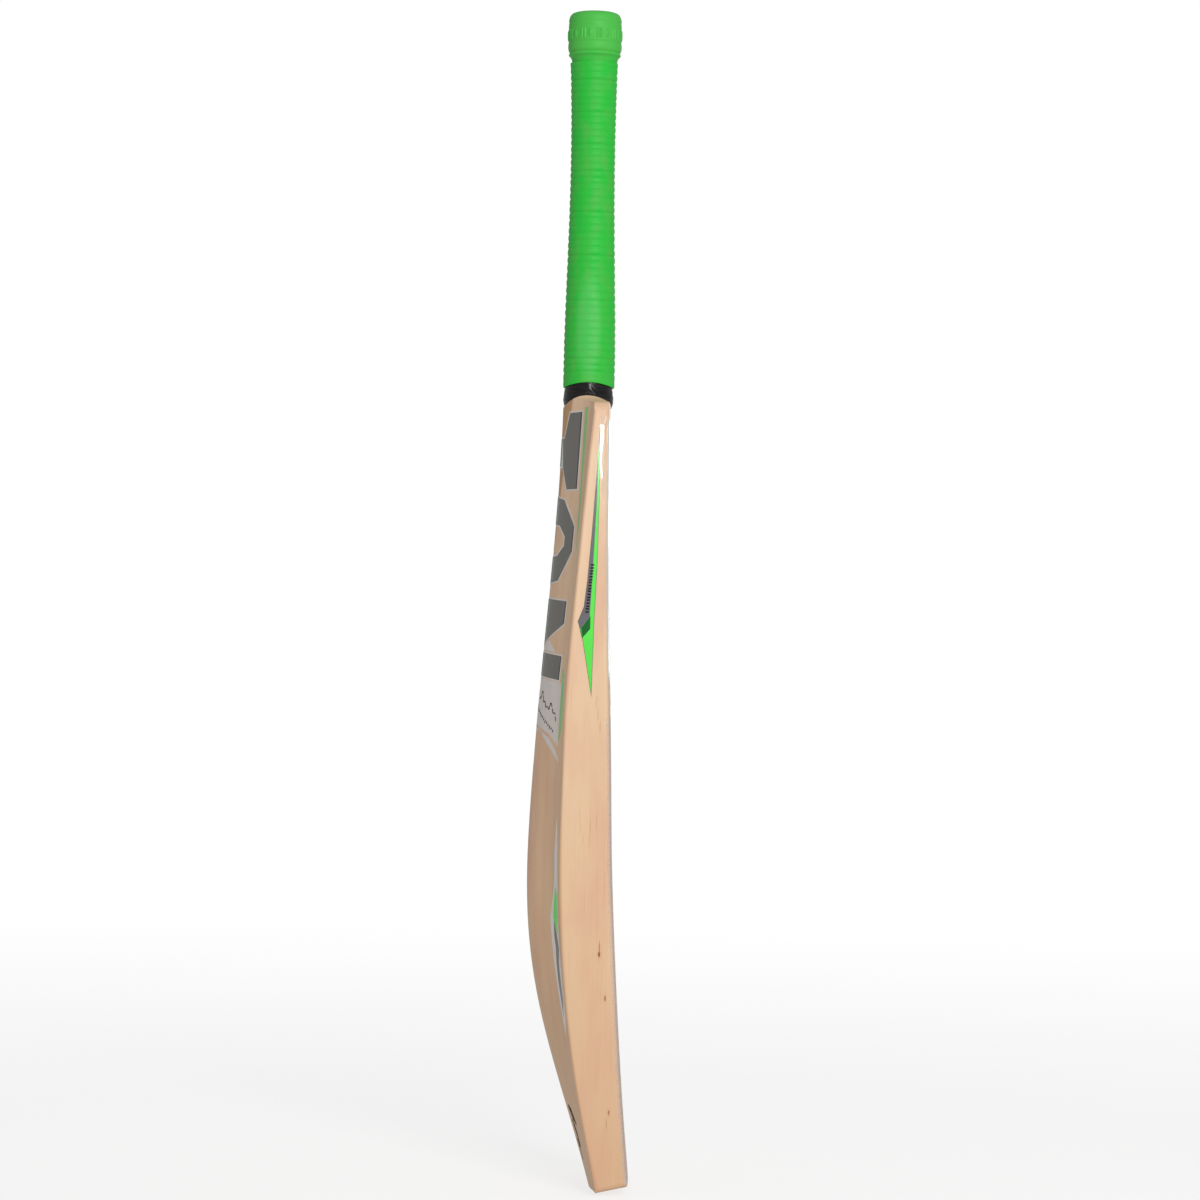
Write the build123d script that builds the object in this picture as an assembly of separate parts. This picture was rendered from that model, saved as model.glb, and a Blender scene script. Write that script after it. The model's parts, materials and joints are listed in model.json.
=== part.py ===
from build123d import *
import os
from math import cos, radians, sin

os.makedirs("parts", exist_ok=True)

# Frame: +Z runs up the handle's axis, the face looks along -Y and the back along +Y.
# The origin is on the handle's axis, level with the lowest point of the toe. Millimetres.

# Blade
BLADE_HALF = 54.0          # half of the blade's width
FACE_BOW = 1.2             # how far the face's middle stands proud of its sides
FACE_CORNER = 3.0          # rounding between the face and an edge
BACK_CORNER = 1.6          # rounding between the back and an edge
SHOULDER_Z = 569.5         # top of the blade at its edges
SHOULDER_RADIUS = 9.0      # rounding at the outer end of a shoulder
NECK_Z = 577.0             # height at which the shoulders run into the handle
SHOULDER_MID_X = 28.0      # halfway along a shoulder's hollow run
SHOULDER_MID_RISE = 2.2
DOME_FRONT_Y = -17.5       # the shoulders' dome, from the face to the back
DOME_TOP_Y = 0.5
DOME_TOP_Z = 575.0
DOME_BACK_Y = 18.5
TOE_TILT = 12.5            # degrees that the toe's underside rises towards the face
TOE_BACK_Y = -10.4         # where the toe is lowest
TOE_FLAT_HALF = 30.0       # half of the flat part of the toe's underside
TOE_RISE = 1.0             # how far the toe's ends curve up
TOE_CORNER = 4.0

# The blade's slices: height, then the Y of the face's middle, of the corner between
# edge and back, and of the spine
SLICES = (
    (-20, -41.2, -19.5, -15.7),
    (45, -35.1, -5.8, 3.0),
    (110, -30.0, 5.6, 22.8),
    (170, -26.2, 12.1, 35.2),
    (230, -23.2, 14.8, 38.8),
    (300, -21.3, 14.1, 36.0),
    (370, -19.2, 12.0, 31.0),
    (440, -17.4, 6.6, 25.3),
    (510, -16.4, 0.8, 20.5),
    (580, -16.2, -5.8, 18.2),
    (650, -16.2, -9.2, 16.2),
)
SLOPE_X = 27.0             # where the back's hollow slope is measured
SLOPE_RISE = 0.43          # part of the back's rise that is reached there
RIDGE_X = 9.0              # half of the rounded spine's width
RIDGE_DROP = 0.17          # part of the slope's fall that the rounded spine takes

# Handle: height, half width along X, half depth along Y and the Y of the centre
HANDLE_RINGS = (
    (556, 17.2, 16.9, 0.8),
    (585, 16.6, 16.2, 0.1),
    (640, 15.7, 15.6, 0.0),
    (695, 14.2, 14.2, 0.0),
    (760, 13.5, 13.5, 0.0),
    (852, 13.4, 13.4, 0.0),
)
SPLICE_TIP_Z = 432.0       # point of the V that is let into the blade
SPLICE_HALF = 17.2         # half of the V's width at the shoulders
SPRING = 1.6               # thickness of a rubber spring
SPRING_Y = (-7.6, 0.0, 7.6)
CANE_X = 5.0               # side of the middle column of cane
SPRING_END_Z = 470.0       # lower end of the rubber springs, inside the splice

# Wrappings
BINDING = 0.8              # thickness of the string binding and of the shoulder tape
TAPE_TOP_Z = 594.0
TAPE_END_Z = 566.5
GRIP = 1.9                 # thickness of the rubber grip
GRIP_END_Z = 583.0
COLLAR_Z = 818.0           # where the grip starts to swell into its collar
COLLAR_RADIUS = 19.6
COLLAR_EASE = 0.8          # easing of the collar's lower edge
GRIP_TOP_Z = 855.0
LIP_RADIUS = 11.5          # opening in the grip's top

STICKER = 0.15             # thickness of the stickers and of the clear sheet
FAR = 90.0                 # reach of a cutting prism beyond the blade
OVERRUN = 5.0              # how far a cut or a join runs past the solid it meets

# Stickers on the back, as half outlines (X, Z) that are mirrored about the spine
BACK_STICKERS = {
    "back_plate": ((0, 545), (9, 545), (15, 563.3), (30.4, 563.8), (32.4, 505.8), (17.5, 505.5),
                   (9, 522.5), (0, 522.5)),
    "back_ring": ((0, 503), (17, 500), (33.6, 480), (33.6, 461), (18, 439.5), (0, 437)),
    "back_shield": ((0, 428.7), (33.4, 426.6), (33, 408.8), (0, 391.5)),
    "back_bar": ((0, 389.8), (34, 386.9), (33, 367.4), (0, 370.6)),
    "back_label": ((0, 370.2), (33, 367), (36.2, 366.8), (36, 321), (24, 329.4), (0, 337.5)),
    "back_chevron": ((0, 336), (24, 326.8), (37.6, 312.4), (37.8, 309.2), (12.2, 331.1), (0, 332.5)),
}
RING_HOLE = ((0, 480.5), (12, 479.5), (20.3, 472), (20, 466), (12, 459.5), (0, 458.7))
# Stickers along the sides of the back, as outlines (X, Z) for the side at +X
SIDE_STICKERS = {
    "back_pinstripe": ((32.6, 566), (36.2, 566), (37.2, 545), (38, 520), (40.4, 484), (40, 460),
                       (37.4, 484), (35.4, 520), (33.5, 545)),
    "back_trim": ((36.6, 378), (40.3, 373.3), (41.9, 357), (42, 341), (39.5, 328.5), (36.9, 325)),
    "lower_blade_sticker": ((39.8, 270), (42.6, 247), (43.4, 222), (42.8, 198), (44, 180), (46.8, 165),
                            (46.4, 140), (44.2, 125), (40.1, 113), (36.5, 138.5), (33.9, 164),
                            (32.1, 197), (36.4, 216), (38.1, 225), (37.7, 246.5)),
}
# Stickers on the flat edges, as an outline (Y, Z)
EDGE_STICKER = ((-8.6, 549), (-6.7, 514), (-4.3, 477), (-1.6, 441), (0.6, 422), (4.7, 411.5),
                (1.4, 400), (-5.9, 357.5), (-7.1, 412.5), (-8.7, 456), (-9.3, 506))
LABEL_CLEAR_Y = 8.0        # the face's label is cut from the skin ahead of this depth
FACE_LABEL = ((0, 350), (53.2, 372), (53.2, 556), (0, 556))
SHEET_LOW, SHEET_HIGH = 9.0, 343.0
SHEET_WRAP = 2.0           # how far the clear sheet turns round the face's corners


def outline_face(*curves):
    """A flat face inside a closed run of curves."""
    return make_face([edge for curve in curves for edge in curve.edges()])


def slice_face(z, face, edge, spine, grow):
    """One level slice: bowed face, flat edges, hollowed back and rounded spine."""
    half = BLADE_HALF + grow
    front, corner_y = face - grow, edge + grow
    side_front = front + FACE_BOW

    def rounding(x, y, radius, side, ahead):
        """A corner's start on the level side, its middle and its end on the flat edge."""
        start_x, inset = side * (x - radius), radius * (1 - sin(radians(45)))
        return ((start_x, y), (side * (x - inset), y + ahead * inset), (side * x, y + ahead * radius))

    right = rounding(half, side_front, FACE_CORNER, 1, 1)
    left = rounding(half, side_front, FACE_CORNER, -1, 1)
    back_right = rounding(half, corner_y, BACK_CORNER, 1, -1)
    back_left = rounding(half, corner_y, BACK_CORNER, -1, -1)
    top = spine + grow
    slope = corner_y + SLOPE_RISE * (top - corner_y)
    ridge = top - RIDGE_DROP * (top - slope)
    back = [back_right[0], (SLOPE_X, slope), (RIDGE_X, ridge), (0, top),
            (-RIDGE_X, ridge), (-SLOPE_X, slope), back_left[0]]
    return Pos(0, 0, z) * outline_face(
        ThreePointArc(left[0], (0, front), right[0]),
        ThreePointArc(*right),
        Line(right[2], back_right[2]),
        ThreePointArc(*reversed(back_right)),
        Spline(*back),
        ThreePointArc(*back_left),
        Line(back_left[2], left[2]),
        ThreePointArc(*reversed(left)),
    )


def blade_skin(grow=0.0):
    """The blade's whole surface, grown outwards, running past the toe and the shoulders."""
    return loft([slice_face(*numbers, grow) for numbers in SLICES])


def toe_prism():
    """Everything above the toe: its section is swept along the tilted underside."""
    half, corner = BLADE_HALF + 1, TOE_CORNER
    bend = corner * (1 - sin(radians(45)))
    rise_x = BLADE_HALF - corner
    outline = [
        Line((-TOE_FLAT_HALF, 0), (TOE_FLAT_HALF, 0)),
        TangentArc((TOE_FLAT_HALF, 0), (rise_x, TOE_RISE), tangent=(1, 0)),
        ThreePointArc((rise_x, TOE_RISE), (BLADE_HALF - bend, TOE_RISE + bend),
                      (BLADE_HALF, TOE_RISE + corner)),
        Polyline((BLADE_HALF, TOE_RISE + corner), (half, TOE_RISE + corner), (half, NECK_Z + FAR),
                 (-half, NECK_Z + FAR), (-half, TOE_RISE + corner), (-BLADE_HALF, TOE_RISE + corner)),
        ThreePointArc((-BLADE_HALF, TOE_RISE + corner), (-BLADE_HALF + bend, TOE_RISE + bend),
                      (-rise_x, TOE_RISE)),
        TangentArc((-TOE_FLAT_HALF, 0), (-rise_x, TOE_RISE), tangent=(-1, 0)),
    ]
    tilt = radians(TOE_TILT)
    face = Plane((0, TOE_BACK_Y, 0), x_dir=(1, 0, 0), z_dir=(0, -1, 0)) * outline_face(*outline)
    return extrude(face, FAR, dir=(0, -cos(tilt), sin(tilt)), both=True)


def shoulder_prism():
    """Front outline: straight sides, rounded shoulders and a hollow run up to the handle."""
    flat_z, start_x = SHOULDER_Z - SHOULDER_RADIUS, BLADE_HALF - SHOULDER_RADIUS
    bend = SHOULDER_RADIUS * (1 - sin(radians(45)))
    half = []
    for side in (1, -1):
        half.append([
            Line((side * BLADE_HALF, -FAR), (side * BLADE_HALF, flat_z)),
            ThreePointArc((side * BLADE_HALF, flat_z),
                          (side * (BLADE_HALF - bend), SHOULDER_Z - bend),
                          (side * start_x, SHOULDER_Z)),
            Spline((side * start_x, SHOULDER_Z), (side * SHOULDER_MID_X, SHOULDER_Z + SHOULDER_MID_RISE),
                   (side * SPLICE_HALF, NECK_Z), tangents=[(-side, 0.05), (-side, 0.9)]),
        ])
    level = [Line((SPLICE_HALF, NECK_Z), (-SPLICE_HALF, NECK_Z)),
             Line((-BLADE_HALF, -FAR), (BLADE_HALF, -FAR))]
    return extrude(Plane.XZ * outline_face(*half[0], *half[1], *level), FAR, both=True)


def arch_prism():
    """Side outline of the shoulders: domed between the face and the back."""
    front, back = (DOME_FRONT_Y, TAPE_END_Z), (DOME_BACK_Y, TAPE_END_Z)
    outline = [
        ThreePointArc(front, (DOME_TOP_Y, DOME_TOP_Z), back),
        Polyline(back, (FAR, TAPE_END_Z), (FAR, -FAR), (-FAR, -FAR), (-FAR, TAPE_END_Z), front),
    ]
    return extrude(Plane.YZ * outline_face(*outline), FAR, both=True)


def ring_loft(grow, low, high):
    """A solid of the handle's oval shape, grown outwards, between two heights."""
    rings = [Pos(0, y, z) * Ellipse(rx + grow, ry + grow) for z, rx, ry, y in HANDLE_RINGS]
    body = loft(rings)
    band = Pos(0, 0, (low + high) / 2) * Box(FAR, FAR, high - low)
    return body & band


def splice_prism():
    """The V that is let into the blade, right through from face to back."""
    top = NECK_Z + OVERRUN
    half = SPLICE_HALF * (top - SPLICE_TIP_Z) / (SHOULDER_Z - SPLICE_TIP_Z)
    outline = Polyline((0, SPLICE_TIP_Z), (half, top), (-half, top), close=True)
    return extrude(Plane.XZ * outline_face(outline), FAR, both=True)


def spans(cuts, gap=0.0):
    """The stretches left between cuts of a given width, from one side to the other."""
    lows = [-FAR] + [cut + gap / 2 for cut in cuts]
    highs = [cut - gap / 2 for cut in cuts] + [FAR]
    return list(zip(lows, highs))


def slab(x_span, y_span, low=0.0, high=GRIP_TOP_Z):
    """A box given by its spans."""
    size = (x_span[1] - x_span[0], y_span[1] - y_span[0], high - low)
    middle = (sum(x_span) / 2, sum(y_span) / 2, (low + high) / 2)
    return Pos(*middle) * Box(*size)


def rubber_grip():
    """Sleeve with a thick collar and an open lip over the handle's end."""
    collar_edge, lip_edge = GRIP_TOP_Z - 7, COLLAR_RADIUS - OVERRUN
    sleeve = ring_loft(BINDING + GRIP, GRIP_END_Z, COLLAR_Z + 2 * OVERRUN)
    radius = HANDLE_RINGS[-1][1] + BINDING + GRIP
    outline = [
        Polyline((0, COLLAR_Z), (radius, COLLAR_Z), (COLLAR_RADIUS - COLLAR_EASE, COLLAR_Z + 9),
                 (COLLAR_RADIUS, COLLAR_Z + 11), (COLLAR_RADIUS, collar_edge)),
        ThreePointArc((COLLAR_RADIUS, collar_edge),
                      (COLLAR_RADIUS - 1.4, GRIP_TOP_Z - 2.6), (lip_edge, GRIP_TOP_Z)),
        Polyline((lip_edge, GRIP_TOP_Z), (0, GRIP_TOP_Z), (0, COLLAR_Z)),
    ]
    collar = revolve(Plane.XZ * outline_face(*outline), Axis.Z)
    bore = ring_loft(BINDING, GRIP_END_Z - OVERRUN, HANDLE_RINGS[-1][0])
    mouth = Pos(0, 0, GRIP_TOP_Z - OVERRUN) * Cylinder(LIP_RADIUS, 4 * OVERRUN)
    return sleeve + collar - bore - mouth


def mirrored(half):
    """A closed outline from its half at +X, which starts and ends on the spine."""
    return Polyline(*half, *[(-x, z) for x, z in reversed(half) if x > 0], close=True)


def sticker(outline, plane, side):
    """A thin skin on the blade inside an outline, on one side of the outline's plane."""
    prism = extrude(plane * outline_face(outline), side * FAR)
    return (skin & prism) - outer


def clear_sheet():
    """Protective sheet over the lower face, turned a little round the face's corners."""
    front = [(face + FACE_BOW + SHEET_WRAP, z) for z, face, *rest in SLICES if z < SHEET_HIGH + FAR]
    outline = [Spline(*front), Polyline(front[-1], (-FAR, front[-1][1]), (-FAR, front[0][1]), front[0])]
    prism = extrude(Plane.YZ * outline_face(*outline), FAR, both=True)
    return (skin & prism & slab((-FAR, FAR), (-FAR, FAR), SHEET_LOW, SHEET_HIGH)) - outer


def write(node, shape):
    """One node's file; a shape in several pieces is kept as one group."""
    shape.label = node
    export_step(shape, f"parts/{node}.step")


skin = blade_skin(STICKER)
outer = blade_skin() & shoulder_prism() & toe_prism() & arch_prism()
cane_body = ring_loft(0, HANDLE_RINGS[0][0] + OVERRUN, HANDLE_RINGS[-1][0]) + (splice_prism() & outer)
write("blade", outer - cane_body)

# The handle is twelve strips of cane, glued up around three rubber springs
cane_layers = dict(zip(("face", "inner_face", "inner_back", "back"), spans(SPRING_Y, SPRING)))
cane_columns = dict(zip(("left", "middle", "right"), spans((-CANE_X, CANE_X))))
springs = [slab((-FAR, FAR), (y - SPRING / 2, y + SPRING / 2), SPRING_END_Z) for y in SPRING_Y]
for name, box in zip(("face", "middle", "back"), springs):
    write(f"rubber_spring_{name}", cane_body & box)
for layer, y_span in cane_layers.items():
    for column, x_span in cane_columns.items():
        write(f"cane_{layer}_{column}", cane_body & slab(x_span, y_span))

wrap_end = slab((-FAR, FAR), (-FAR, FAR), TAPE_TOP_Z)
binding = ring_loft(BINDING, TAPE_END_Z, HANDLE_RINGS[-1][0]) - cane_body - outer
write("string_binding", binding & wrap_end)
write("shoulder_tape", binding - wrap_end)
write("rubber_grip", rubber_grip())

for node, half in BACK_STICKERS.items():
    shape = sticker(mirrored(half), Plane.XZ, -1)
    if node == "back_ring":
        shape -= extrude(Plane.XZ * outline_face(mirrored(RING_HOLE)), -FAR)
    write(node, shape)
for side, sign in (("left", -1), ("right", 1)):
    for node, points in SIDE_STICKERS.items():
        outline = Polyline(*[(sign * x, z) for x, z in points], close=True)
        write(f"{node}_{side}", sticker(outline, Plane.XZ, -1))
    write(f"edge_sticker_{side}", sticker(Polyline(*EDGE_STICKER, close=True), Plane.YZ, sign))
write("face_label", sticker(mirrored(FACE_LABEL), Plane.XZ.offset(LABEL_CLEAR_Y), 1))
write("face_sheet", clear_sheet())
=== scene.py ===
import json
import math
import bmesh
import bpy
import numpy as np
from mathutils import Matrix, Vector, noise
from mathutils.bvhtree import BVHTree

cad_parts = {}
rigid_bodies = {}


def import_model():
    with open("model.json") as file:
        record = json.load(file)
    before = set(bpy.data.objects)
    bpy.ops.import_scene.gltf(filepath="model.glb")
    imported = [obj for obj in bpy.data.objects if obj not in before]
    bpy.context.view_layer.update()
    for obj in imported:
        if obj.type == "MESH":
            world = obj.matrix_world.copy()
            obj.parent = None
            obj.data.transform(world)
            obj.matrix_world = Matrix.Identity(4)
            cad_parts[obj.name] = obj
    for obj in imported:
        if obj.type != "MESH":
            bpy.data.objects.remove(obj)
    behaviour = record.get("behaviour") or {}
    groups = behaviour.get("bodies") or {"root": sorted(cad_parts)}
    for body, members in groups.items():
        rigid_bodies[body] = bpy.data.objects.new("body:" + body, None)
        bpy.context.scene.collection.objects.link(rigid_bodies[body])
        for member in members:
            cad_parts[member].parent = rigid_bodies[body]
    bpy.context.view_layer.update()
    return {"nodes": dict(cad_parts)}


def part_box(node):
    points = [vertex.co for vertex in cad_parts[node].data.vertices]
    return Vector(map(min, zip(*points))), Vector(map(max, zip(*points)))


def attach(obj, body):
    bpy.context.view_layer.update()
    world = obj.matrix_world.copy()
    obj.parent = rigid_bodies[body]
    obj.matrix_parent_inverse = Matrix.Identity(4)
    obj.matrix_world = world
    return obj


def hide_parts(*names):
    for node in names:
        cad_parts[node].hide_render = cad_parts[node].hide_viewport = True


for leftover in list(bpy.data.objects):
    bpy.data.objects.remove(leftover)
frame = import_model()

# The bat stands on its toe, handle up, face towards -Y. Metres, unless a name says mm.
MM = 0.001
BLADE_TOP = 0.58            # about where the shoulders end
FAR = 0.3                   # rays start this far out, clear of the bat
TURN = 2 * math.pi

# ---------------------------------------------------------------- camera, floor and lights

CAMERA_PLACE = Vector((-2.722, -0.0109, 0.427))
CAMERA_ROLL = math.radians(1.03)
LENS_MM = 111.9
WORLD_LIGHT, WORLD_SEEN = 0.4, 1.0
# Each light's name, place, target, width and height, and watts
LIGHTS = (("key", (-2.6, -0.9, 1.5), (0, 0, 0.45), (1.2, 1.6), 54),
          ("fill", (2.7, -0.2, 1.1), (0, 0, 0.45), (1.6, 1.6), 14),
          ("strip", (-2.722, -0.0105, 0.652), (0, 0, 0.5), (0.012, 0.10), 1.1))
FLOOR_RADIUS = 9
WHITE_FROM, WHITE_TO = 0.6, 2.2    # the floor fades to plain white between these distances
GLOW_AT_BAT = 0.75                 # share of its own glow in the floor beside the bat
GLOW_LIGHT = 0.55                  # how strongly that glow lights things; the camera sees 1


def set_camera():
    """Level camera off the bat's left edge, looking along +X and leaning a little."""
    camera = bpy.data.objects.new("camera", bpy.data.cameras.new("camera"))
    bpy.context.collection.objects.link(camera)
    camera.data.lens = LENS_MM
    lean, rise = math.sin(CAMERA_ROLL), math.cos(CAMERA_ROLL)
    axes = Matrix(((0, 0, -1), (-rise, lean, 0), (lean, rise, 0)))
    camera.matrix_world = Matrix.Translation(CAMERA_PLACE) @ axes.to_4x4()
    camera.data.clip_start = 0.05
    bpy.context.scene.camera = camera


def area_light(name, place, target, size, watts):
    """A soft panel that the camera doesn't see."""
    light = bpy.data.lights.new(name, "AREA")
    light.shape = "RECTANGLE"
    light.size, light.size_y = size
    light.energy = watts
    lamp = bpy.data.objects.new(name, light)
    bpy.context.collection.objects.link(lamp)
    lamp.location = place
    lamp.rotation_mode = "QUATERNION"
    lamp.rotation_quaternion = (Vector(target) - Vector(place)).to_track_quat("-Z", "Y")
    lamp.visible_camera = False


def set_world(light, seen):
    """Even light from all round, seen by the camera as plain white."""
    world = bpy.data.worlds.new("studio")
    bpy.context.scene.world = world
    world.use_nodes = True
    tree = world.node_tree
    tree.nodes.clear()
    path = tree.nodes.new("ShaderNodeLightPath")
    both = tree.nodes.new("ShaderNodeMixShader")
    for slot, strength in ((1, light), (2, seen)):
        glow = tree.nodes.new("ShaderNodeBackground")
        glow.inputs["Color"].default_value = (1, 1, 1, 1)
        glow.inputs["Strength"].default_value = strength
        tree.links.new(glow.outputs[0], both.inputs[slot])
    tree.links.new(path.outputs["Is Camera Ray"], both.inputs[0])
    output = tree.nodes.new("ShaderNodeOutputWorld")
    tree.links.new(both.outputs[0], output.inputs["Surface"])


# ---------------------------------------------------------------- shaders


def srgb(red, green, blue):
    """A shader colour from screen values of 0 to 255."""
    channels = [value / 255 for value in (red, green, blue)]
    return (*[c / 12.92 if c <= 0.04045 else ((c + 0.055) / 1.055) ** 2.4 for c in channels], 1.0)


class Shader:
    """A material on one Principled surface, with its pattern built by nested calls."""

    def __init__(self, name, **settings):
        self.material = bpy.data.materials.new(name)
        self.material.use_nodes = True
        self.tree = self.material.node_tree
        self.surface = self.tree.nodes["Principled BSDF"]
        self.place = self.node("TexCoord").outputs["Object"]
        for key, value in settings.items():
            self.feed(self.surface.inputs[key.replace("_", " ")], value)

    def feed(self, socket, value):
        if isinstance(value, bpy.types.NodeSocket):
            self.tree.links.new(value, socket)
        else:
            socket.default_value = value

    def node(self, kind, inputs=None, **settings):
        made = self.tree.nodes.new("ShaderNode" + kind)
        for key, value in settings.items():
            setattr(made, key, value)
        for key, value in (inputs or {}).items():
            self.feed(made.inputs[key], value)
        return made

    def stretched(self, scale, offset):
        """Object coordinates, scaled and then moved."""
        inputs = {"Vector": self.place, "Scale": scale, "Location": offset}
        return self.node("Mapping", inputs).outputs[0]

    def noise(self, scale, stretch=(1, 1, 1), detail=2.0, roughness=0.5, offset=(0, 0, 0)):
        inputs = {"Vector": self.stretched(stretch, offset), "Scale": scale, "Detail": detail,
                  "Roughness": roughness}
        return self.node("TexNoise", inputs).outputs["Fac"]

    def maths(self, operation, first, second=0.0, third=0.0):
        made = self.node("Math", operation=operation)
        for socket, value in zip(made.inputs, (first, second, third)):
            self.feed(socket, value)
        return made.outputs[0]

    def axis(self, name):
        return self.node("SeparateXYZ", {"Vector": self.place}).outputs[name]

    def span(self, value, low, high, to_low=0.0, to_high=1.0):
        """A value's place between two others, held inside the new range."""
        inputs = {"Value": value, "From Min": low, "From Max": high, "To Min": to_low, "To Max": to_high}
        return self.node("MapRange", inputs).outputs["Result"]

    def ramp(self, value, *stops):
        made = self.node("ValToRGB", {"Fac": value})
        band = made.color_ramp
        while len(band.elements) < len(stops):
            band.elements.new(1.0)
        for element, (position, colour) in zip(band.elements, stops):
            element.position, element.color = position, colour
        return made.outputs["Color"]

    def mix(self, share, first, second):
        return self.node("MixRGB", {"Fac": share, "Color1": first, "Color2": second}).outputs["Color"]

    def bump(self, height, distance, strength):
        inputs = {"Height": height, "Distance": distance, "Strength": strength}
        return self.node("Bump", inputs).outputs["Normal"]

    def near(self, centre, size):
        """1 at a place and 0 beyond an ellipsoid round it."""
        scale = [1 / length for length in size]
        offset = [-place * by for place, by in zip(centre, scale)]
        length = self.node("VectorMath", {0: self.stretched(scale, offset)}, operation="LENGTH")
        return self.span(length.outputs["Value"], 1.0, 0.0)

    def finish(self, colour, roughness=None, normal=None):
        """The material, once what is given has been fed into its surface."""
        given = (("Base Color", colour), ("Roughness", roughness), ("Normal", normal))
        for key, value in given:
            if value is not None:
                self.feed(self.surface.inputs[key], value)
        return self.material


# Height and depth, in mm, of the corner between each flat edge and the back
BACK_CORNER = ((45, -5.8), (110, 5.6), (170, 12.1), (230, 14.8), (300, 14.1), (370, 12.0),
               (440, 6.6), (510, 0.8), (580, -5.8))
CORNER_LINE = 0.8 * MM              # the painted shade line runs this far inside that corner
LINE_CORE, LINE_END = 0.3 * MM, 1.7 * MM   # the painted shade band is full inside the first and gone at the second
EDGE_FROM, EDGE_TO = 53.2 * MM, 53.7 * MM  # it comes in between these distances from the spine
RING_PITCH = 0.0125                 # spacing of the growth rings across the width
RING_WANDER = 0.022
HALO = 2.6                          # size of the tinted wood round a knot, against the knot's own
HALO_SHARE = 0.45
# Knots and stains in the willow: centre, half sizes, and strength from 0 to 1
KNOTS = (((-0.054, -0.0150, 0.1785), (0.004, 0.0005, 0.0050), 0.6),
         ((-0.054, -0.0148, 0.1735), (0.004, 0.0010, 0.0024), 0.9),
         ((-0.054, -0.0196, 0.1420), (0.004, 0.0008, 0.0026), 0.7),
         ((-0.054, -0.0237, 0.0604), (0.004, 0.0007, 0.0022), 0.7),
         ((-0.054, -0.0221, 0.0520), (0.004, 0.0004, 0.0052), 0.35),
         ((-0.054, -0.0126, 0.3360), (0.004, 0.0004, 0.0050), 0.3),
         ((-0.054, -0.0109, 0.3447), (0.004, 0.0004, 0.0060), 0.25),
         ((-0.054, -0.0094, 0.3519), (0.004, 0.0004, 0.0030), 0.2),
         ((-0.054, -0.0100, 0.3560), (0.004, 0.0004, 0.0035), 0.2),
         ((-0.054, 0.0012, 0.2740), (0.004, 0.0003, 0.0060), 0.16),
         ((-0.054, 0.0002, 0.2640), (0.004, 0.0003, 0.0050), 0.16),
         ((-0.054, -0.0018, 0.2560), (0.004, 0.0003, 0.0060), 0.2),
         ((-0.054, -0.0070, 0.2640), (0.004, 0.0003, 0.0070), 0.2),
         ((-0.054, -0.0060, 0.2540), (0.004, 0.0003, 0.0050), 0.16),
         ((-0.054, -0.0112, 0.2680), (0.004, 0.0003, 0.0080), 0.2),
         ((0.054, -0.0050, 0.3080), (0.004, 0.0012, 0.0048), 0.8),
         ((0.018, -0.0300, 0.2300), (0.0012, 0.02, 0.0050), 0.7))


def painted_corner_shade(s):
    """1 in a narrow band of painted shade just inside the corner between a flat edge and the back."""
    heights, depths = np.array(BACK_CORNER).T * MM
    corner = 0.0
    for factor in np.polyfit(heights / BLADE_TOP, depths, 4):
        corner = s.maths("MULTIPLY_ADD", corner, s.maths("DIVIDE", s.axis("Z"), BLADE_TOP), float(factor))
    inside = s.maths("SUBTRACT", corner, s.axis("Y"))
    off = s.maths("ABSOLUTE", s.maths("SUBTRACT", inside, CORNER_LINE))
    on_edge = s.span(s.maths("ABSOLUTE", s.axis("X")), EDGE_FROM, EDGE_TO)
    return s.maths("MULTIPLY", on_edge, s.span(off, LINE_END, LINE_CORE))


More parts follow.
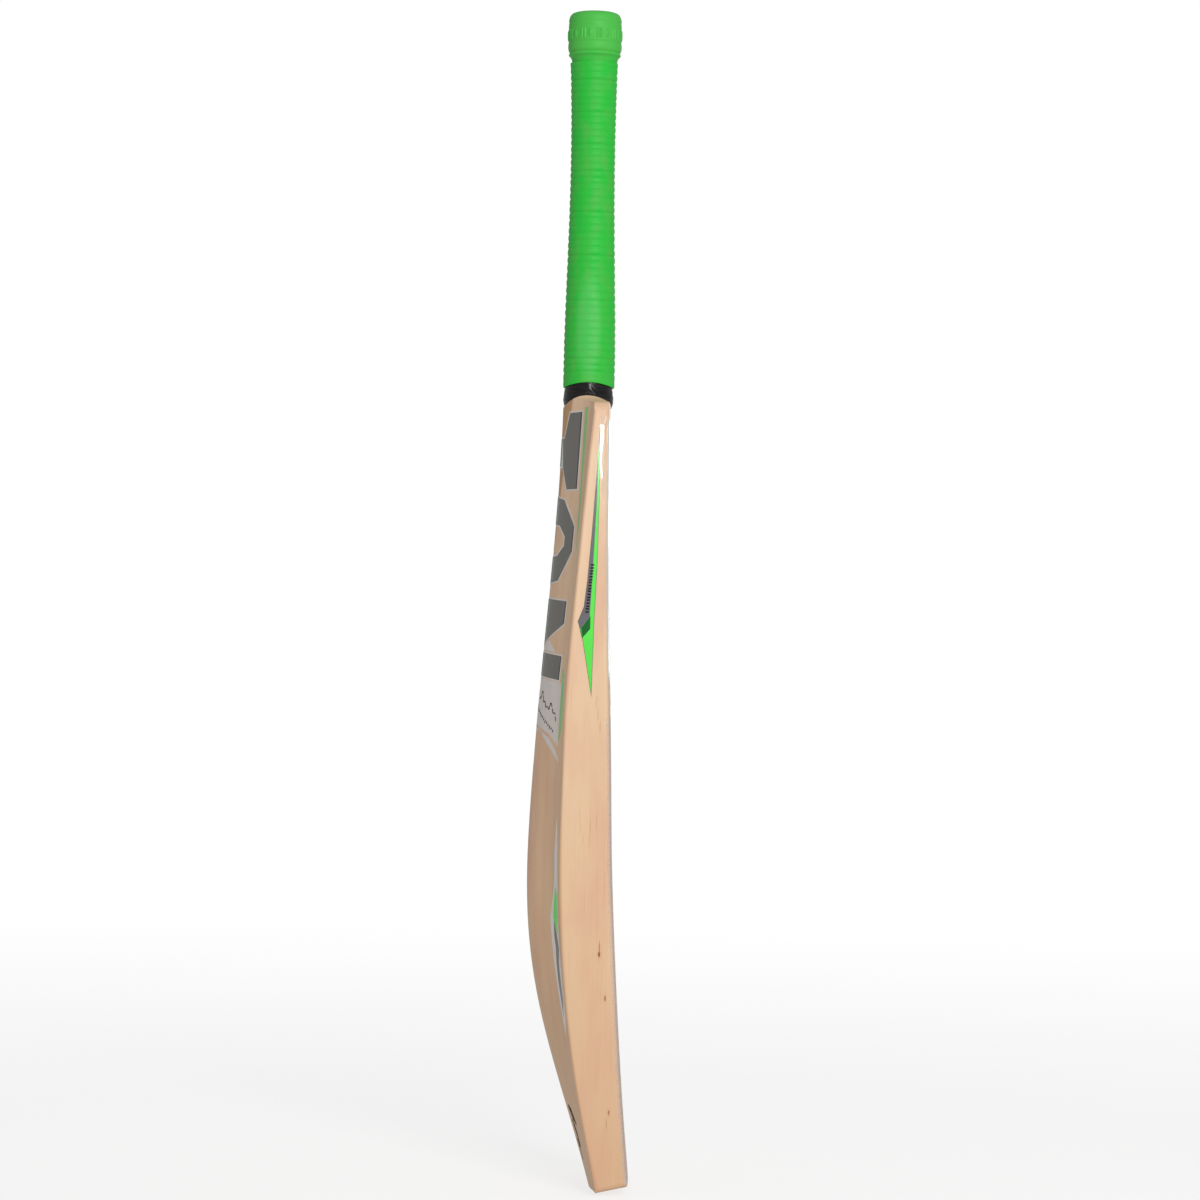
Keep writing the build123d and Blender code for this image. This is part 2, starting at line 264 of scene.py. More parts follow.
def willow():
    """Pale willow: growth rings across the width, fibres along the length, a few marks, and painted shade
    along the corners with the back.
    """
    s = Shader("willow", Specular_IOR_Level=0.35, Coat_Weight=0.12, Coat_Roughness=0.15)
    across = s.axis("X")
    wander = s.noise(22, (1, 1, 0.1), detail=3)
    drift = s.maths("MULTIPLY_ADD", wander, RING_WANDER, across)
    ring = s.maths("FRACT", s.maths("DIVIDE", drift, RING_PITCH))
    ring_line = s.span(ring, 0.4, 1.0)
    fibres = s.noise(1100, (1, 1, 0.014), detail=3, roughness=0.7)
    flecks = s.noise(430, (1, 1, 0.022), detail=2, roughness=0.6, offset=(3, 1, 0))
    streaks = s.noise(240, (1, 1, 0.03), detail=2)
    broad = s.noise(42, (1, 1, 0.28), detail=3)
    # The wood is darker towards the toe and paler towards the top.
    up = s.span(s.axis("Z"), 0.0, BLADE_TOP)
    cream = s.ramp(up, (0.0, srgb(219, 178, 138)), (0.3, srgb(228, 190, 152)), (1.0, srgb(236, 203, 170)))
    pinkish = s.mix(s.span(broad, 0.42, 0.68, 0, 0.6), cream, srgb(219, 168, 140))
    yellowish = s.mix(s.span(streaks, 0.5, 0.8, 0, 0.25), pinkish, srgb(230, 196, 152))
    lined = s.mix(s.maths("MULTIPLY", ring_line, 0.13), yellowish, srgb(196, 148, 106))
    flecked = s.mix(s.span(flecks, 0.64, 0.78, 0, 0.4), lined, srgb(208, 148, 112))
    fibred = s.mix(s.span(fibres, 0.5, 0.85, 0, 0.22), flecked, srgb(196, 148, 114))
    # Painted shade: a darker line just inside the corner between each flat edge and the back.
    shaded_and_marked = s.mix(s.maths("MULTIPLY", painted_corner_shade(s), 0.32), fibred, srgb(196, 144, 108))
    for centre, size, depth in KNOTS:
        halo = [length * HALO for length in size]
        tint = s.maths("MULTIPLY", s.near(centre, halo), HALO_SHARE * depth)
        shaded_and_marked = s.mix(tint, shaded_and_marked, srgb(205, 150, 105))
        core = s.span(s.near(centre, size), 0.0, 0.45, 0.0, depth)
        shaded_and_marked = s.mix(core, shaded_and_marked, srgb(136, 68, 38))
    bumps = s.bump(fibres, 0.00005, 0.35)
    gloss = s.span(streaks, 0.3, 0.7, 0.42, 0.52)
    return s.finish(shaded_and_marked, gloss, bumps)


def cane():
    """Glued cane: darker and more orange than willow, with close dark pores."""
    s = Shader("cane", Specular_IOR_Level=0.4, Coat_Weight=0.2, Coat_Roughness=0.15)
    pores = s.noise(1900, (1, 1, 0.02), detail=2)
    broad = s.noise(160, (1, 1, 0.04), detail=2)
    body = s.ramp(broad, (0.3, srgb(205, 160, 112)), (0.7, srgb(186, 138, 92)))
    flecked = s.mix(s.span(pores, 0.56, 0.72, 0, 0.6), body, srgb(120, 78, 44))
    return s.finish(flecked, 0.5, s.bump(pores, 0.00006, 0.4))


def rubber(name, main, worn, rough=0.5, patches=()):
    """Moulded rubber with faint mottling and a fine skin, made paler in the places given, which on the grip
    are a paler collar and painted highlights.
    """
    s = Shader(name, Specular_IOR_Level=0.22)
    skin = s.noise(2600, detail=3, roughness=0.6)
    cloud = s.noise(120, (1, 1, 0.6), detail=3)
    fine = s.noise(700, (1, 1, 1.6), detail=2)
    body = s.mix(s.span(cloud, 0.42, 0.72, 0, 0.7), main, worn)
    speckled = s.mix(s.span(fine, 0.58, 0.8, 0, 0.35), body, worn)
    for centre, size, share, colour in patches:
        patch = s.span(s.near(centre, size), 0.0, 0.35, 0.0, share)
        speckled = s.mix(patch, speckled, colour)
    return s.finish(speckled, s.span(cloud, 0.3, 0.7, rough - 0.06, rough + 0.06), s.bump(skin, 0.00004, 0.3))


STRING_PITCH = 0.0011       # height of one turn of the binding


def string():
    """Waxed string wound so that its turns touch, with painted shade in the grooves between turns."""
    s = Shader("string", Specular_IOR_Level=0.3)
    turns = s.maths("FRACT", s.maths("DIVIDE", s.axis("Z"), STRING_PITCH))
    crown = s.maths("PINGPONG", turns, 0.5)
    wax = s.noise(300, detail=2)
    # Darker where the turns meet: painted shade in the grooves between them.
    body = s.ramp(crown, (0.0, srgb(120, 92, 60)), (0.35, srgb(206, 182, 142)))
    return s.finish(s.mix(s.span(wax, 0.4, 0.8, 0, 0.4), body, srgb(188, 150, 98)), 0.6,
                    s.bump(crown, 0.0004, 0.8))


def tape():
    """Glossy black tape, faintly creased along its turns, with painted shade in the creases' hollows."""
    s = Shader("black_tape", Specular_IOR_Level=0.18, Coat_Weight=0.35, Coat_Roughness=0.05)
    creases = s.noise(260, (0.35, 0.35, 3.2), detail=3)
    dust = s.noise(900, detail=2)
    # Darker in the creases' hollows and paler on their ridges: painted shade.
    body = s.ramp(creases, (0.35, srgb(10, 9, 10)), (0.75, srgb(30, 27, 28)))
    return s.finish(s.mix(s.span(dust, 0.6, 0.85, 0, 0.25), body, srgb(70, 64, 66)),
                    s.span(creases, 0.3, 0.7, 0.2, 0.34), s.bump(creases, 0.00025, 0.5))


def sticker(name, main, second, rough=0.28, coat=0.5, shine=0.5):
    """Printed vinyl under a clear film, with a slight drift of its ink and tiny ripples."""
    s = Shader(name, Specular_IOR_Level=shine, Coat_Weight=coat, Coat_Roughness=0.1)
    drift = s.noise(45, (1, 1, 0.3), detail=2)
    grain = s.noise(2400, detail=2)
    body = s.mix(s.span(drift, 0.35, 0.7), main, second)
    inked = s.mix(s.span(grain, 0.55, 0.85, 0, 0.18), body, second)
    return s.finish(inked, s.span(drift, 0.3, 0.7, rough - 0.05, rough + 0.07),
                    s.bump(s.noise(160, (1, 1, 0.4), detail=2), 0.00006, 0.5))


def glossy_film():
    """Clear glossy film, almost unseen but for its highlight."""
    s = Shader("edge_film", Roughness=0.03, Specular_IOR_Level=0.8)
    haze = s.noise(90, (1, 1, 0.3), detail=2)
    s.feed(s.surface.inputs["Alpha"], s.span(haze, 0.3, 0.7, 0.1, 0.16))
    return s.finish(s.mix(haze, srgb(240, 238, 232), srgb(228, 232, 226)))


def clear_film():
    """Clear anti-scuff sheet, with the fine cross weave of its fibres."""
    s = Shader("clear_sheet", Specular_IOR_Level=0.6, Coat_Weight=0.4, Coat_Roughness=0.1)
    warp = s.noise(1600, (1, 1, 0.05), detail=1)
    weft = s.noise(1600, (0.05, 1, 1), detail=1)
    weave = s.maths("MAXIMUM", warp, weft)
    haze = s.noise(60, detail=2)
    s.feed(s.surface.inputs["Alpha"], s.span(weave, 0.5, 0.75, 0.14, 0.34))
    return s.finish(s.mix(s.span(haze, 0.3, 0.7), srgb(236, 228, 222), srgb(226, 220, 214)), 0.3,
                    s.bump(weave, 0.00005, 0.4))


def floor_finish():
    """Pale matt floor that fades to plain white away from the bat."""
    s = Shader("studio_floor", Roughness=0.9, Specular_IOR_Level=0.1)
    grain = s.noise(40, detail=3)
    s.feed(s.surface.inputs["Base Color"], s.ramp(grain, (0.3, srgb(243, 243, 242)),
                                                  (0.7, srgb(247, 247, 246))))
    distance = s.node("VectorMath", {0: s.place}, operation="LENGTH").outputs["Value"]
    seen = s.node("LightPath").outputs["Is Camera Ray"]
    glow = s.node("Emission", {"Strength": s.span(seen, 0.0, 1.0, GLOW_LIGHT, 1.0)})
    both = s.node("MixShader", {0: s.span(distance, WHITE_FROM, WHITE_TO, GLOW_AT_BAT),
                                1: s.surface.outputs[0], 2: glow.outputs[0]})
    output = s.tree.nodes["Material Output"]
    s.tree.links.new(both.outputs[0], output.inputs["Surface"])
    return s.material


# ---------------------------------------------------------------- meshes


def piece(name, mesh, material, slot, *stands_for):
    """A shown object that rides on the bat's only body."""
    made = bpy.data.objects.new(name, mesh)
    bpy.context.collection.objects.link(made)
    made.data.materials.append(material)
    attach(made, "root")
    if stands_for:
        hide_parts(*stands_for)


def smooth(mesh, angle):
    """Smooth shading, kept sharp at edges that turn by more than an angle."""
    shape = bmesh.new()
    shape.from_mesh(mesh)
    bmesh.ops.recalc_face_normals(shape, faces=shape.faces)
    for face in shape.faces:
        face.smooth = True
    for edge in shape.edges:
        if edge.is_manifold and edge.calc_face_angle() > math.radians(angle):
            edge.smooth = False
    shape.to_mesh(mesh)
    shape.free()


def ring_mesh(name, rows):
    """A closed ring-shaped skin from rows of points that each go once round the handle."""
    count, around = len(rows), len(rows[0])
    points = [point for row in rows for point in row]
    faces = []
    for i in range(count):
        for j in range(around):
            across, down = (j + 1) % around, (i + 1) % count
            faces.append((i * around + j, i * around + across, down * around + across, down * around + j))
    mesh = bpy.data.meshes.new(name)
    mesh.from_pydata(points, [], faces)
    smooth(mesh, 50)
    return mesh


class Surface:
    """The outer surface of some CAD nodes, met by straight rays."""

    def __init__(self, *names):
        points, faces = [], []
        for name in names:
            mesh = frame["nodes"][name].data
            start = len(points)
            points += [vertex.co.copy() for vertex in mesh.vertices]
            faces += [[start + index for index in face.vertices] for face in mesh.polygons]
        self.tree = BVHTree.FromPolygons(points, faces)

    def meet(self, start, direction):
        place, normal, _, _ = self.tree.ray_cast(Vector(start), Vector(direction))
        return place, normal


def oval_at(surface, height):
    """Half widths along X and Y, and the Y of the middle, of a sleeve's level section."""
    right = surface.meet((FAR, 0, height), (-1, 0, 0))[0].x
    left = surface.meet((-FAR, 0, height), (1, 0, 0))[0].x
    back = surface.meet((0, FAR, height), (0, -1, 0))[0].y
    face = surface.meet((0, -FAR, height), (0, 1, 0))[0].y
    return (right - left) / 2, (back - face) / 2, (back + face) / 2


def oval_row(oval, height, angles, grow=0.0, radial=None):
    """Points round an oval at one height or one each, moved out by grow and by an extra amount each."""
    extra = radial if radial is not None else [0.0] * len(angles)
    heights = height if hasattr(height, "__len__") else [height] * len(angles)
    across, deep, middle = oval
    return [((across + grow + out) * math.cos(a), middle + (deep + grow + out) * math.sin(a), z)
            for a, out, z in zip(angles, extra, heights)]


# ---------------------------------------------------------------- rubber grip

GRIP_AROUND = 192
GRIP_SAMPLES = 24           # heights at which the CAD sleeve is measured
GRIP_INNER_ROWS = 20
GRIP_WALL = 1.75 * MM
RIB_ROW = 0.62 * MM         # spacing of the rows of points over the ribs
RIB_DEPTH = 0.74 * MM
RIB_PITCH, RIB_WIDER = 4.7, 0.8    # mm, the least pitch and what the widest ribs add to it
RIB_WIDEST, RIB_SPREAD = 0.32, 0.26   # where they are, as shares of the way up, and how far that reaches
RIB_SHARPNESS = 0.55        # the lower, the narrower the grooves
RIB_WOBBLE = 0.00008
HEM, HEM_DEPTH = 0.03, 0.35    # up to this share of the way, the ribs have this share of their depth
RIB_FADE = 6 * MM           # the ribs fade out over this height below the collar
COLLAR_FOOT = 36.5 * MM     # below the grip's top, where the collar's neck begins
COLLAR_ROW = 0.34 * MM      # spacing of the rows of points along the collar's outline
GRIP_END_WAVE = 1.65 * MM   # the grip's lower end rides up at the bat's sides
WAVE_REACH = 14 * MM        # and its ribs follow that wave up to here
BAR_HEIGHT = 0.65 * MM      # raised marks round the collar
MARK_LOW, MARK_HIGH = -20.6 * MM, -12.8 * MM
MARK_REPEATS = 10
BAR_PLACES, LOZENGE_PLACE = (0.18, 0.36), 0.72   # as shares of one repeat
# Paler places on the grip: half sizes, strength and colour. The collar is a paler green; the two patches on
# the handle's sides are painted highlights.
COLLAR_TINT = ((50 * MM, 50 * MM, 24 * MM), 0.55, srgb(92, 186, 82))
GRIP_SIDE_HIGHLIGHT = ((16 * MM, 11 * MM, 44 * MM), 0.18, srgb(136, 214, 140))

# The collar's outline: height below the grip's top, and radius, both in mm
COLLAR = ((-38, 16.25), (-35.5, 16.5), (-33.5, 17.1), (-32.2, 18.0), (-31.7, 18.75), (-30.9, 19.0),
          (-30.2, 18.75), (-29.8, 18.3), (-29.3, 18.2), (-28.6, 18.9), (-27.4, 19.35), (-25.5, 19.55),
          (-23.6, 19.5), (-22.7, 19.35), (-22.3, 19.05), (-21.8, 19.3), (-17, 19.45), (-12, 19.3),
          (-11.2, 19.35), (-10.4, 19.3), (-8.2, 19.15), (-7.8, 18.95), (-7.2, 19.15), (-6.2, 19.3),
          (-5.2, 19.1), (-3.6, 18.7), (-2.0, 17.9), (-0.9, 16.7), (-0.2, 14.9), (0, 13.6),
          (-0.35, 12.2), (-1.2, 11.6), (-2.6, 11.5))


def rib_pitch(share):
    """The ribs' spacing at a share of the way up, widest in the grip's lower middle."""
    return (RIB_PITCH + RIB_WIDER * math.exp(-((share - RIB_WIDEST) / RIB_SPREAD) ** 2)) * MM


def grip_marks(angle, drop):
    """Raised bars and lozenges round the collar, from 0 to 1."""
    middle = (MARK_LOW + MARK_HIGH) / 2
    half = (MARK_HIGH - MARK_LOW) / 2
    along = abs(drop - middle) / half
    place = (angle / TURN * MARK_REPEATS) % 1.0
    bars = min(abs(place - bar_place) for bar_place in BAR_PLACES)
    bar = min(1.0, max(0.0, (0.055 - bars) / 0.025)) * min(1.0, max(0.0, (1 - along) / 0.12))
    lozenge = abs(place - LOZENGE_PLACE) / 0.15 + along
    return max(bar, min(1.0, max(0.0, (1 - lozenge) / 0.2)))


def rubber_grip():
    """Ribbed sleeve, thick collar and open lip over the handle's end."""
    cad = Surface("rubber_grip")
    low, high = (corner.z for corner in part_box("rubber_grip"))
    foot = high - COLLAR_FOOT
    heights = np.linspace(low + MM, foot - 2 * MM, GRIP_SAMPLES)
    ovals = np.array([oval_at(cad, float(z)) for z in heights])
    fits = [np.polyfit(heights - low, ovals[:, i], 4) for i in range(3)]
    angles = [TURN * i / GRIP_AROUND for i in range(GRIP_AROUND)]
    end = [low + 0.35 * MM + GRIP_END_WAVE * math.cos(2 * a) for a in angles]

    def oval(height):
        inside = min(max(height, low), foot)
        return [float(np.polyval(fit, inside - low)) for fit in fits]

    outside, z, phase = [], low, 0.0
    while z < foot:
        share = (z - low) / (foot - low)
        phase += RIB_ROW / rib_pitch(share)
        groove = 1 - abs(math.sin(math.pi * phase)) ** RIB_SHARPNESS
        depth = RIB_DEPTH * groove * (HEM_DEPTH if share < HEM else 1.0) * min(1.0, (foot - z) / RIB_FADE)
        wobble = [RIB_WOBBLE * noise.noise(Vector((3 * math.cos(a), 3 * math.sin(a), z * 90))) - depth
                  for a in angles]
        blend = max(0.0, 1 - (z - low) / WAVE_REACH)
        row_heights = [z + (e - low) * blend for e in end]
        outside.append(oval_row(oval(z), row_heights, angles, 0.0, wobble))
        z += RIB_ROW
    drops = [drop * MM for drop, _ in COLLAR]
    radii = [radius * MM for _, radius in COLLAR]
    lengths = np.concatenate(([0], np.cumsum(np.hypot(np.diff(drops), np.diff(radii)))))
    for at in np.arange(0, lengths[-1], COLLAR_ROW):
        drop = float(np.interp(at, lengths, drops))
        radius = float(np.interp(at, lengths, radii))
        raised = [BAR_HEIGHT * grip_marks(a, drop) if MARK_LOW < drop < MARK_HIGH else 0.0 for a in angles]
        outside.append(oval_row((radius, radius, 0.0), high + drop, angles, 0.0, raised))
    handle_top = max(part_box("cane_inner_face_middle")[1].z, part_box("cane_face_middle")[1].z)
    bore = oval_at(Surface("string_binding"), handle_top - 2 * MM)
    lip_under = handle_top + 0.1 * MM
    mouth = radii[-1]
    inside = [oval_row((mouth, mouth, 0.0), lip_under, angles),
              oval_row(bore, lip_under, angles, 0.12 * MM)]
    for height in np.linspace(lip_under - 3 * MM, low + 3 * MM, GRIP_INNER_ROWS):
        inside.append(oval_row(oval(float(height)), float(height), angles, -GRIP_WALL))
    # The rounded lower rim, from the inside out: how far up in mm, and how far in
    for up, grow in ((0.2, -GRIP_WALL), (-0.1, -1.45 * MM), (-0.35, -0.5 * MM)):
        inside.append(oval_row(oval(low), [e + up * MM for e in end], angles, grow))
    mesh = ring_mesh("grip", outside + inside)
    # A paler collar, and painted highlights on the handle's two sides.
    patches = [((0, 0, high - 15 * MM), *COLLAR_TINT),
               ((-19 * MM, MM, 625 * MM), *GRIP_SIDE_HIGHLIGHT),
               ((19 * MM, MM, 625 * MM), *GRIP_SIDE_HIGHLIGHT)]
    green = rubber("grip_rubber", srgb(42, 190, 60), srgb(84, 180, 74), 0.5, patches)
    piece("grip", mesh, green, "grip_rubber", "rubber_grip")


# ---------------------------------------------------------------- shoulder tape

TAPE_AROUND = 240
TAPE_ROWS = 90
TAPE_BULGE = 1.3           # mm, the bunched turns stand this far out at the foot
TAPE_LAP = 0.16            # mm that each turn adds
TAPE_CREASE = 0.12         # mm
TAPE_TUCK = 0.9 * MM       # the tape's foot is this far below the shoulder's surface
TAPE_SMOOTHING = 6         # neighbours on each side that the foot's height is averaged over
TAPE_WALL = 0.7 * MM
# Each turn's lower edge: height over the tape's foot in mm, tilt in mm, and the tilt's direction
TAPE_TURNS = ((1.6, 0.5, 0.6), (3.6, 1.1, 2.1), (5.4, 0.9, 4.4), (7.9, 1.3, 1.2), (11.0, 0.8, 3.3))


def shoulder_tape():
    """Overlapping turns of tape round the foot of the handle, sagging over the shoulders."""
    cad = Surface("shoulder_tape")
    blade = Surface("blade")
    low, high = (corner.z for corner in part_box("shoulder_tape"))
    upper, lower = high - 2 * MM, high - 14 * MM
    near_top, near_foot = oval_at(cad, upper), oval_at(cad, lower)

    def oval(height):
        share = (upper - height) / (upper - lower)
        return [a + (b - a) * share for a, b in zip(near_top, near_foot)]

    angles = [TURN * i / TAPE_AROUND for i in range(TAPE_AROUND)]
    feet = []
    for a, (x, y, _) in zip(angles, oval_row(oval(low + 6 * MM), low, angles, 0.2 * MM)):
        shoulder = blade.meet((x, y, high), (0, 0, -1))[0]
        feet.append(max(shoulder.z - TAPE_TUCK, low) if shoulder else low)
    near = range(-TAPE_SMOOTHING, TAPE_SMOOTHING + 1)
    feet = [sum(feet[(i + k) % TAPE_AROUND] for k in near) / len(near) for i in range(TAPE_AROUND)]
    outside = []
    for i in range(TAPE_ROWS):
        share = i / (TAPE_ROWS - 1)
        row_heights = [high + (foot - high) * share for foot in feet]
        out = []
        for a, foot, z in zip(angles, feet, row_heights):
            over = (z - foot) / MM
            thick = 0.0
            for lift, tilt, toward in TAPE_TURNS:
                edge = over - lift - tilt * math.cos(a - toward)
                thick += TAPE_LAP * min(1.0, max(0.0, 0.5 + edge / 0.5))
            bulge = TAPE_BULGE * math.exp(-((over - 5.5) / 6.5) ** 2)
            crease = TAPE_CREASE * noise.noise(Vector((5 * math.cos(a), 5 * math.sin(a), over * 0.8)))
            out.append((thick + bulge - 0.5 + crease) * MM * min(1.0, 0.25 + over / 3))
        outside.append(oval_row(oval(sum(row_heights) / TAPE_AROUND), row_heights, angles, 0.0, out))
    inside = [oval_row(oval(low), feet, angles, -TAPE_WALL),
              oval_row(oval(high), high, angles, -TAPE_WALL)]
    mesh = ring_mesh("tape_turns", outside + inside)
    piece("tape_turns", mesh, tape(), "black_tape", "shoulder_tape")


# ---------------------------------------------------------------- clear sheet

SHEET_LIFT = 0.09 * MM      # keeps the sheet's underside clear of the wood


def clear_sheet():
    """The face's clear sheet, raised a hair's breadth so that it doesn't flicker through the wood."""
    wood = Surface("blade").tree
    mesh = frame["nodes"]["face_sheet"].data.copy()
    mesh.materials.clear()
    for vertex in mesh.vertices:
        _, normal, _, _ = wood.find_nearest(vertex.co)
        vertex.co += normal * SHEET_LIFT
    piece("sheet", mesh, clear_film(), "clear_sheet", "face_sheet")


# ---------------------------------------------------------------- printed layers

PRINT = 0.05 * MM           # thickness of a printed layer
PRINT_LIFT = 0.065 * MM     # its top over what it lies on
BORDER = 1.1 * MM           # pale border round the dark panels
SHADE_WIDTH = 1.4 * MM      # darker strip along a panel's outer side
BAND = 5.2 * MM             # half width of the green band down the panels' middle
BAND_GAP = 6.5 * MM         # and where the dark parts start beside it
# Spacing in mm, across and along, of the cuts that let a print bend with the surface
BACK_STEP, EDGE_STEP, FACE_STEP = (2, 6), (6, 6), (12, 12)
PEN_WIDTH = 0.85 * MM
PEN_TRIM = 0.7              # of its width, taken off each end of a pen stroke
TOE_SLASH_WIDTH = 1.5 * MM
# Ticks down each half of the label: X and Z of the first in mm, and the way from it to the last
LABEL_TICKS, TICK_START, TICK_RUN = 14, (1.5, 350.2), (27.2, -17.4)
TICK_LENGTH, TICK_LONGER = 1.5, 0.4   # mm, and how much longer the next is, in runs of three
TICK_LEAN = 0.4 * MM
TICK_WIDTH = 1.0 * MM
# Ticks down each flat edge, in mm: the first one's Y and Z, spacing, drift, half length, slant and width
EDGE_TICKS, EDGE_TICK_Y, EDGE_TICK_TOP, EDGE_TICK_PITCH = 17, -5.1, 452, 2.1
EDGE_TICK_DRIFT, EDGE_TICK_HALF, EDGE_TICK_SLANT, EDGE_TICK_WIDTH = 0.1, 1.2, 0.2, 1.15
# For each side, the X and Y that a print's first coordinate runs along, and the way a ray meets it
SIDES = {"back": ((1, 0), (0, -1, 0)), "face": ((1, 0), (0, 1, 0)),
         "left": ((0, 1), (1, 0, 0)), "right": ((0, 1), (-1, 0, 0))}


def mm(*points):
    return [(u * MM, z * MM) for u, z in points]


def mirrored(half):
    """A closed outline from its half at +X, which starts and ends on the spine."""
    return list(half) + [(-x, z) for x, z in reversed(half) if x > 1e-6]


def flipped(points):
    return [(-u, z) for u, z in points]


def inset(points, distance):
    """A closed outline moved inwards by the same distance on every side."""
    count = len(points)
    area = sum(points[i - 1][0] * points[i][1] - points[i][0] * points[i - 1][1] for i in range(count))
    inward = 1 if area > 0 else -1
    lines = []
    for i in range(count):
        start, end = Vector(points[i - 1]), Vector(points[i])
        way = (end - start).normalized()
        lines.append((start + inward * distance * Vector((-way.y, way.x)), way))
    corners = []
    for i in range(count):
        (p, v), (q, w) = lines[i], lines[(i + 1) % count]
        cross = v.x * w.y - v.y * w.x
        along = ((q - p).x * w.y - (q - p).y * w.x) / cross if abs(cross) > 1e-9 else 0.0
        corners.append(tuple(p + v * along))
    return corners


def beyond(path, limit):
    """The part of an open path that lies beyond a distance from the spine."""
    kept = []
    for (u, z), (next_u, next_z) in zip(path, path[1:]):
        if u >= limit:
            kept.append((u, z))
        if (u - limit) * (next_u - limit) < 0:
            kept.append((limit, z + (next_z - z) * (limit - u) / (next_u - u)))
    return kept


def band_ends(path):
    """A panel's upper and lower end across the band down its middle."""
    inside = beyond(path, BAND)
    return [[(-BAND, side), (0, middle), (BAND, side)]
            for (_, side), (_, middle) in ((inside[0], path[0]), (inside[-1], path[-1]))]


def stroke(points, width):
    """The outline of a pen stroke along some points."""
    left, right = [], []
    for i, point in enumerate(points):
        ahead = Vector(points[min(i + 1, len(points) - 1)])
        behind = Vector(points[max(i - 1, 0)])
        way = (ahead - behind).normalized()
        side = Vector((-way.y, way.x)) * width / 2
        left.append(tuple(Vector(point) + side))
        right.append(tuple(Vector(point) - side))
    return left + right[::-1]


def pen(points, width):
    """Separate short strokes from each point towards the next."""
    strokes = []
    for start, end in zip(points, points[1:]):
        way = (Vector(end) - Vector(start)).normalized() * width * PEN_TRIM
        strokes.append(stroke([tuple(Vector(start) + way), tuple(Vector(end) - way)], width))
    return strokes


def cut_sheet(outline, step_u, step_z):
    """A flat sheet inside an outline, divided so that it can follow a curved surface."""
    shape = bmesh.new()
    corners = [shape.verts.new((u, 0, z)) for u, z in outline]
    edges = [shape.edges.new((corners[i - 1], corners[i])) for i in range(len(corners))]
    bmesh.ops.triangle_fill(shape, use_beauty=True, edges=edges, normal=(0, 1, 0))
    for axis, step in ((0, step_u), (2, step_z)):
        values = [point[axis // 2] for point in outline]
        normal = [0, 0, 0]
        normal[axis] = 1
        for count in range(math.floor(min(values) / step) + 1, math.ceil(max(values) / step)):
            place = [0, 0, 0]
            place[axis] = count * step
            everything = shape.verts[:] + shape.edges[:] + shape.faces[:]
            bmesh.ops.bisect_plane(shape, geom=everything, plane_co=place, plane_no=normal, dist=1e-6)
    return shape


def lay_sheets(name, side, outlines, material, slot, lift=PRINT_LIFT, step=BACK_STEP):
    """A printed layer on one side of the bat, in one or several separate areas."""
    (on_x, on_y), way = SIDES[side]
    way = Vector(way)
    mesh = bpy.data.meshes.new(name)
    whole = bmesh.new()
    for outline in outlines:
        shape = cut_sheet(outline, step[0] * MM, step[1] * MM)
        for vertex in shape.verts:
            start = Vector((vertex.co.x * on_x, vertex.co.x * on_y, vertex.co.z)) - way * FAR
            place, normal = bat_skin.meet(start, way)
            if place is None:
                place, normal = start + way * FAR, -way
            vertex.co = place + normal * lift
        bmesh.ops.recalc_face_normals(shape, faces=shape.faces)
        if sum(face.normal.dot(way) for face in shape.faces) > 0:
            bmesh.ops.reverse_faces(shape, faces=shape.faces)
        bmesh.ops.solidify(shape, geom=shape.faces[:], thickness=PRINT)
        part = bpy.data.meshes.new("part")
        shape.to_mesh(part)
        shape.free()
        whole.from_mesh(part)
        bpy.data.meshes.remove(part)
    whole.to_mesh(mesh)
    whole.free()
    smooth(mesh, 40)
    piece(name, mesh, material, slot)


# The half outlines of the stickers on the back, as the CAD model cuts them
PANELS = {
    "back_plate": mm((0, 545), (9, 545), (15, 563.3), (30.4, 563.8), (32.4, 505.8), (17.5, 505.5),
                     (9, 522.5), (0, 522.5)),
    "back_ring": mm((0, 503), (17, 500), (33.6, 480), (33.6, 461), (18, 439.5), (0, 437)),
    "back_shield": mm((0, 428.7), (33.4, 426.6), (33, 408.8), (0, 391.5)),
    "back_bar": mm((0, 389.8), (34, 386.9), (33, 367.4), (0, 370.6)),
}
# The ring's hole, the grey foot of the shield, and the pen strokes, as halves at +X
RING_HOLE = mm((0, 480.5), (12, 479.5), (20.3, 472), (20, 466), (12, 459.5), (0, 458.7))
SHIELD_FOOT = mm((3, 391.9), (13, 397.4), (24, 388.6), (3, 390.2))
TOE_SLASHES = (mm((13.5, 60), (15.5, 56), (18, 49)), mm((15.5, 60.5), (18.5, 55), (21, 47.5)),
               mm((18, 59), (21, 53), (24, 47)), mm((14, 50), (17, 41), (17.5, 30)),
               mm((16.5, 47), (19.5, 40), (19, 31)), mm((14, 36), (15.6, 28), (15.4, 21)))
LABEL_STROKES = (
    mm((31.9, 338.5), (30.4, 343), (29.7, 345.6), (27.4, 344), (26, 348.6), (23.6, 352.6), (22, 346.6),
       (19.6, 349.8), (17.5, 348)),
    mm((17.5, 348), (15.6, 353.6), (13.4, 351.6), (12.6, 357.6), (10.3, 360.8), (9, 354.6), (7.2, 356.2),
       (5.4, 353.4)),
)
